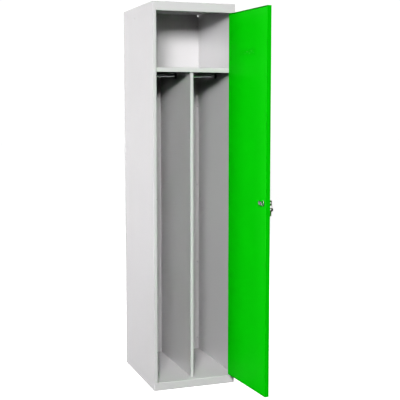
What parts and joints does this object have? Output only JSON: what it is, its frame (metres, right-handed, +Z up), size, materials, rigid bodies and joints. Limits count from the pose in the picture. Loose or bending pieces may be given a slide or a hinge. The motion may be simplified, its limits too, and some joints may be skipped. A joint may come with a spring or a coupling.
{
  "type": "school locker",
  "caption": "Tall steel clothes locker with one hinged door standing open, hat shelf, centre divider, coat rails and a key cam lock.",
  "frame": {"origin": "on the floor at the centre of the carcass footprint", "axes": "+X to the right as seen by the user, +Y to the back, +Z up"},
  "size_m": [0.4454, 0.8663, 1.8],
  "materials": {
    "grey_paint": "satin powder coat",
    "green_paint": "satin powder coat",
    "zinc": "bright zinc plate",
    "chrome": "polished",
    "key_metal": "nickel plate, worn",
    "black_nylon": "moulded",
    "black_rubber": "matte"
  },
  "bodies": {
    "locker": {"left_side_panel": "grey_paint", "right_side_panel": "grey_paint", "back_panel": "grey_paint", "back_panel_rivets": "zinc", "top_panel": "grey_paint", "base_panel": "grey_paint", "hat_shelf": "grey_paint", "centre_divider": "grey_paint", "left_coat_rail": "zinc", "right_coat_rail": "zinc", "left_coat_rail_sockets": "black_nylon", "right_coat_rail_sockets": "black_nylon", "upper_hinge_bush": "black_nylon", "lower_hinge_bush": "black_nylon", "front_left_floor_glide": "black_nylon", "front_right_floor_glide": "black_nylon", "rear_left_floor_glide": "black_nylon", "rear_right_floor_glide": "black_nylon", "lower_door_buffer": "black_rubber", "middle_door_buffer": "black_rubber", "upper_door_buffer": "black_rubber"},
    "door": {"door_outer_panel": "green_paint", "door_inner_panel": "green_paint", "upper_hinge_pin": "zinc", "lower_hinge_pin": "zinc", "lock_body": "chrome", "lock_nut": "zinc"},
    "lock_cylinder": {"lock_plug": "chrome", "lock_cam": "zinc", "cam_washer": "zinc", "cam_nut": "zinc", "door_key": "key_metal"},
    "keys": {"key_ring": "key_metal", "spare_key": "key_metal"}
  },
  "joints": [
    {"name": "door_hinge", "type": "hinge", "parent": "locker", "child": "door", "pos_m": [0.1885, -0.2445, 0.9], "axis": [0, 0, 1], "range_deg": [-94, 14]},
    {"name": "lock_turn", "type": "hinge", "parent": "door", "child": "lock_cylinder", "pos_m": [0.21816, -0.58977, 0.906], "axis": [0.9976, 0.0698, 0], "range_deg": [0, 180]},
    {"name": "key_ring_swing", "type": "hinge", "parent": "lock_cylinder", "child": "keys", "pos_m": [0.23312, -0.58873, 0.90375], "axis": [0.0698, -0.9976, 0], "range_deg": [-3, 183]}
  ]
}
